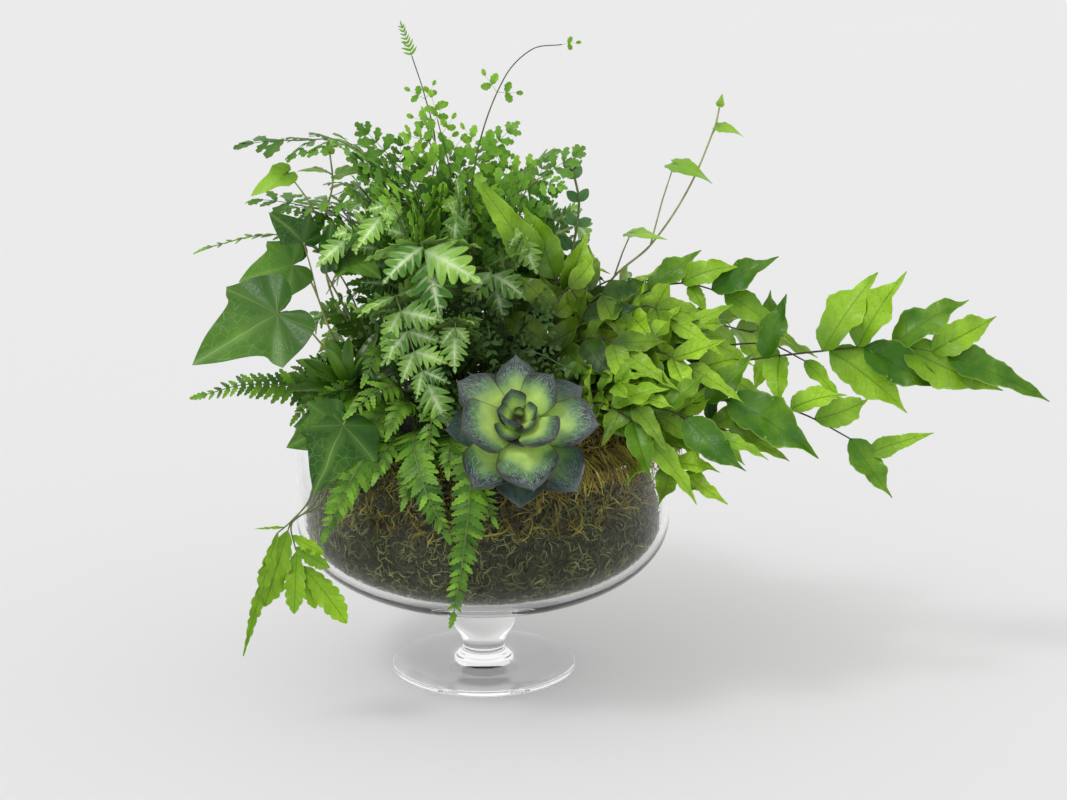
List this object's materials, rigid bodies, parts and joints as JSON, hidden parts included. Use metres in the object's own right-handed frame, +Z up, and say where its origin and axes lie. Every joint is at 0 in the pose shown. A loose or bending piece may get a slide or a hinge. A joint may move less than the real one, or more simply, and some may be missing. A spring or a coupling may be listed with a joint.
{
  "type": "succulent and fern bowl garden",
  "caption": "Mixed garden of ferns, trailing ivy, sedum and an echeveria rosette, planted in soil and moss in a footed clear glass bowl.",
  "frame": {"origin": "centre of the flat underside of the glass foot", "axes": "+Z up along the bowl's axis; +X towards the long holly fern fronds, to the right in the picture; -Y towards the echeveria, the front of the garden"},
  "size_m": [0.5486, 0.3618, 0.4289],
  "materials": {
    "clear_glass": "polished",
    "moss": "matte",
    "potting_soil": "matte",
    "echeveria_leaf": "matte",
    "rosette_leaf": "gloss",
    "holly_fern_leaf": "satin",
    "silver_fern_leaf": "satin",
    "small_fern_leaf": "satin",
    "tall_fern_leaf": "satin",
    "ivy_leaf": "satin",
    "sedum_leaf": "satin",
    "broad_leaf": "satin"
  },
  "bodies": {
    "root": {"footed_glass_bowl": "clear_glass", "moss_lining": "moss", "moss_tuft_right": "moss", "potting_soil": "potting_soil", "echeveria_rosette": "echeveria_leaf", "glossy_rosette": "rosette_leaf", "holly_fern_frond_01": "holly_fern_leaf", "holly_fern_frond_02": "holly_fern_leaf", "holly_fern_frond_03": "holly_fern_leaf", "holly_fern_frond_04": "holly_fern_leaf", "holly_fern_frond_05": "holly_fern_leaf", "holly_fern_frond_06": "holly_fern_leaf", "holly_fern_frond_07": "holly_fern_leaf", "holly_fern_frond_08": "holly_fern_leaf", "holly_fern_frond_09": "holly_fern_leaf", "holly_fern_frond_10": "holly_fern_leaf", "holly_fern_frond_11": "holly_fern_leaf", "holly_fern_frond_12": "holly_fern_leaf", "silver_fern_frond_01": "silver_fern_leaf", "silver_fern_frond_02": "silver_fern_leaf", "silver_fern_frond_03": "silver_fern_leaf", "silver_fern_frond_04": "silver_fern_leaf", "silver_fern_frond_05": "silver_fern_leaf", "silver_fern_frond_06": "silver_fern_leaf", "silver_fern_frond_07": "silver_fern_leaf", "silver_fern_frond_08": "silver_fern_leaf", "silver_fern_frond_09": "silver_fern_leaf", "silver_fern_frond_10": "silver_fern_leaf", "small_fern_frond_01": "small_fern_leaf", "small_fern_frond_02": "small_fern_leaf", "small_fern_frond_03": "small_fern_leaf", "small_fern_frond_04": "small_fern_leaf", "small_fern_frond_05": "small_fern_leaf", "small_fern_frond_06": "small_fern_leaf", "small_fern_frond_07": "small_fern_leaf", "small_fern_frond_08": "small_fern_leaf", "small_fern_frond_09": "small_fern_leaf", "small_fern_frond_10": "small_fern_leaf", "small_fern_frond_11": "small_fern_leaf", "small_fern_frond_12": "small_fern_leaf", "drooping_fern_frond_1": "holly_fern_leaf", "drooping_fern_frond_2": "holly_fern_leaf", "tall_fern_stem_1": "tall_fern_leaf", "tall_fern_stem_2": "tall_fern_leaf", "tall_fern_stem_3": "tall_fern_leaf", "tall_fern_stem_4": "tall_fern_leaf", "ivy_stem_left_1": "ivy_leaf", "ivy_stem_left_2": "ivy_leaf", "ivy_stem_left_3": "ivy_leaf", "ivy_stem_left_4": "ivy_leaf", "ivy_stem_left_5": "ivy_leaf", "ivy_stem_back": "ivy_leaf", "ivy_stem_right": "ivy_leaf", "sedum_stem": "sedum_leaf", "broad_leaf_1": "broad_leaf", "broad_leaf_2": "broad_leaf", "broad_leaf_3": "broad_leaf"}
  },
  "joints": []
}
